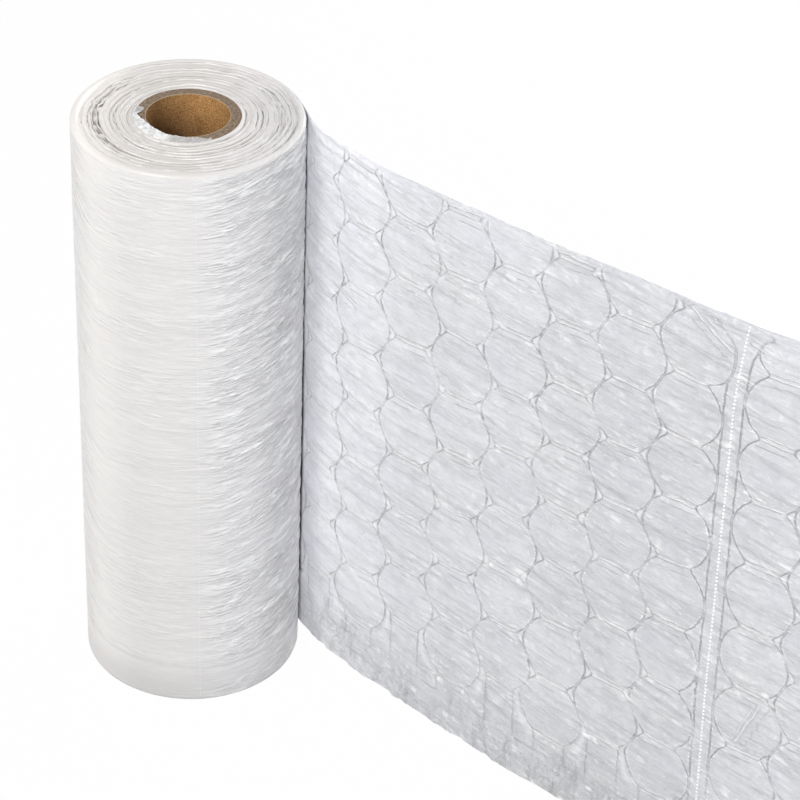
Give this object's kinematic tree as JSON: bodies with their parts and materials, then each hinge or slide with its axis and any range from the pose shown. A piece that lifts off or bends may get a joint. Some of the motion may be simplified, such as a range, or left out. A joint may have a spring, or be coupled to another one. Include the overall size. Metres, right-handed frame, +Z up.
{
  "type": "air pillow roll",
  "caption": "Flat air cushion film wound on a cardboard core, standing on its end, with a free length drawn off that shows rounded sealed cells, a tear-off line and an inflation channel.",
  "frame": {"origin": "on the core's axis, at the surface that the roll stands on", "axes": "+Z up along the core's axis, -Y towards the side that the free film is drawn to, +X towards its free end"},
  "size_m": [0.499, 0.3382, 0.4008],
  "materials": {
    "cardboard": "matt kraft board",
    "film": "thin milky film, satin"
  },
  "bodies": {
    "root": {"core_tube": "cardboard", "pillow_film": "film"}
  },
  "joints": []
}
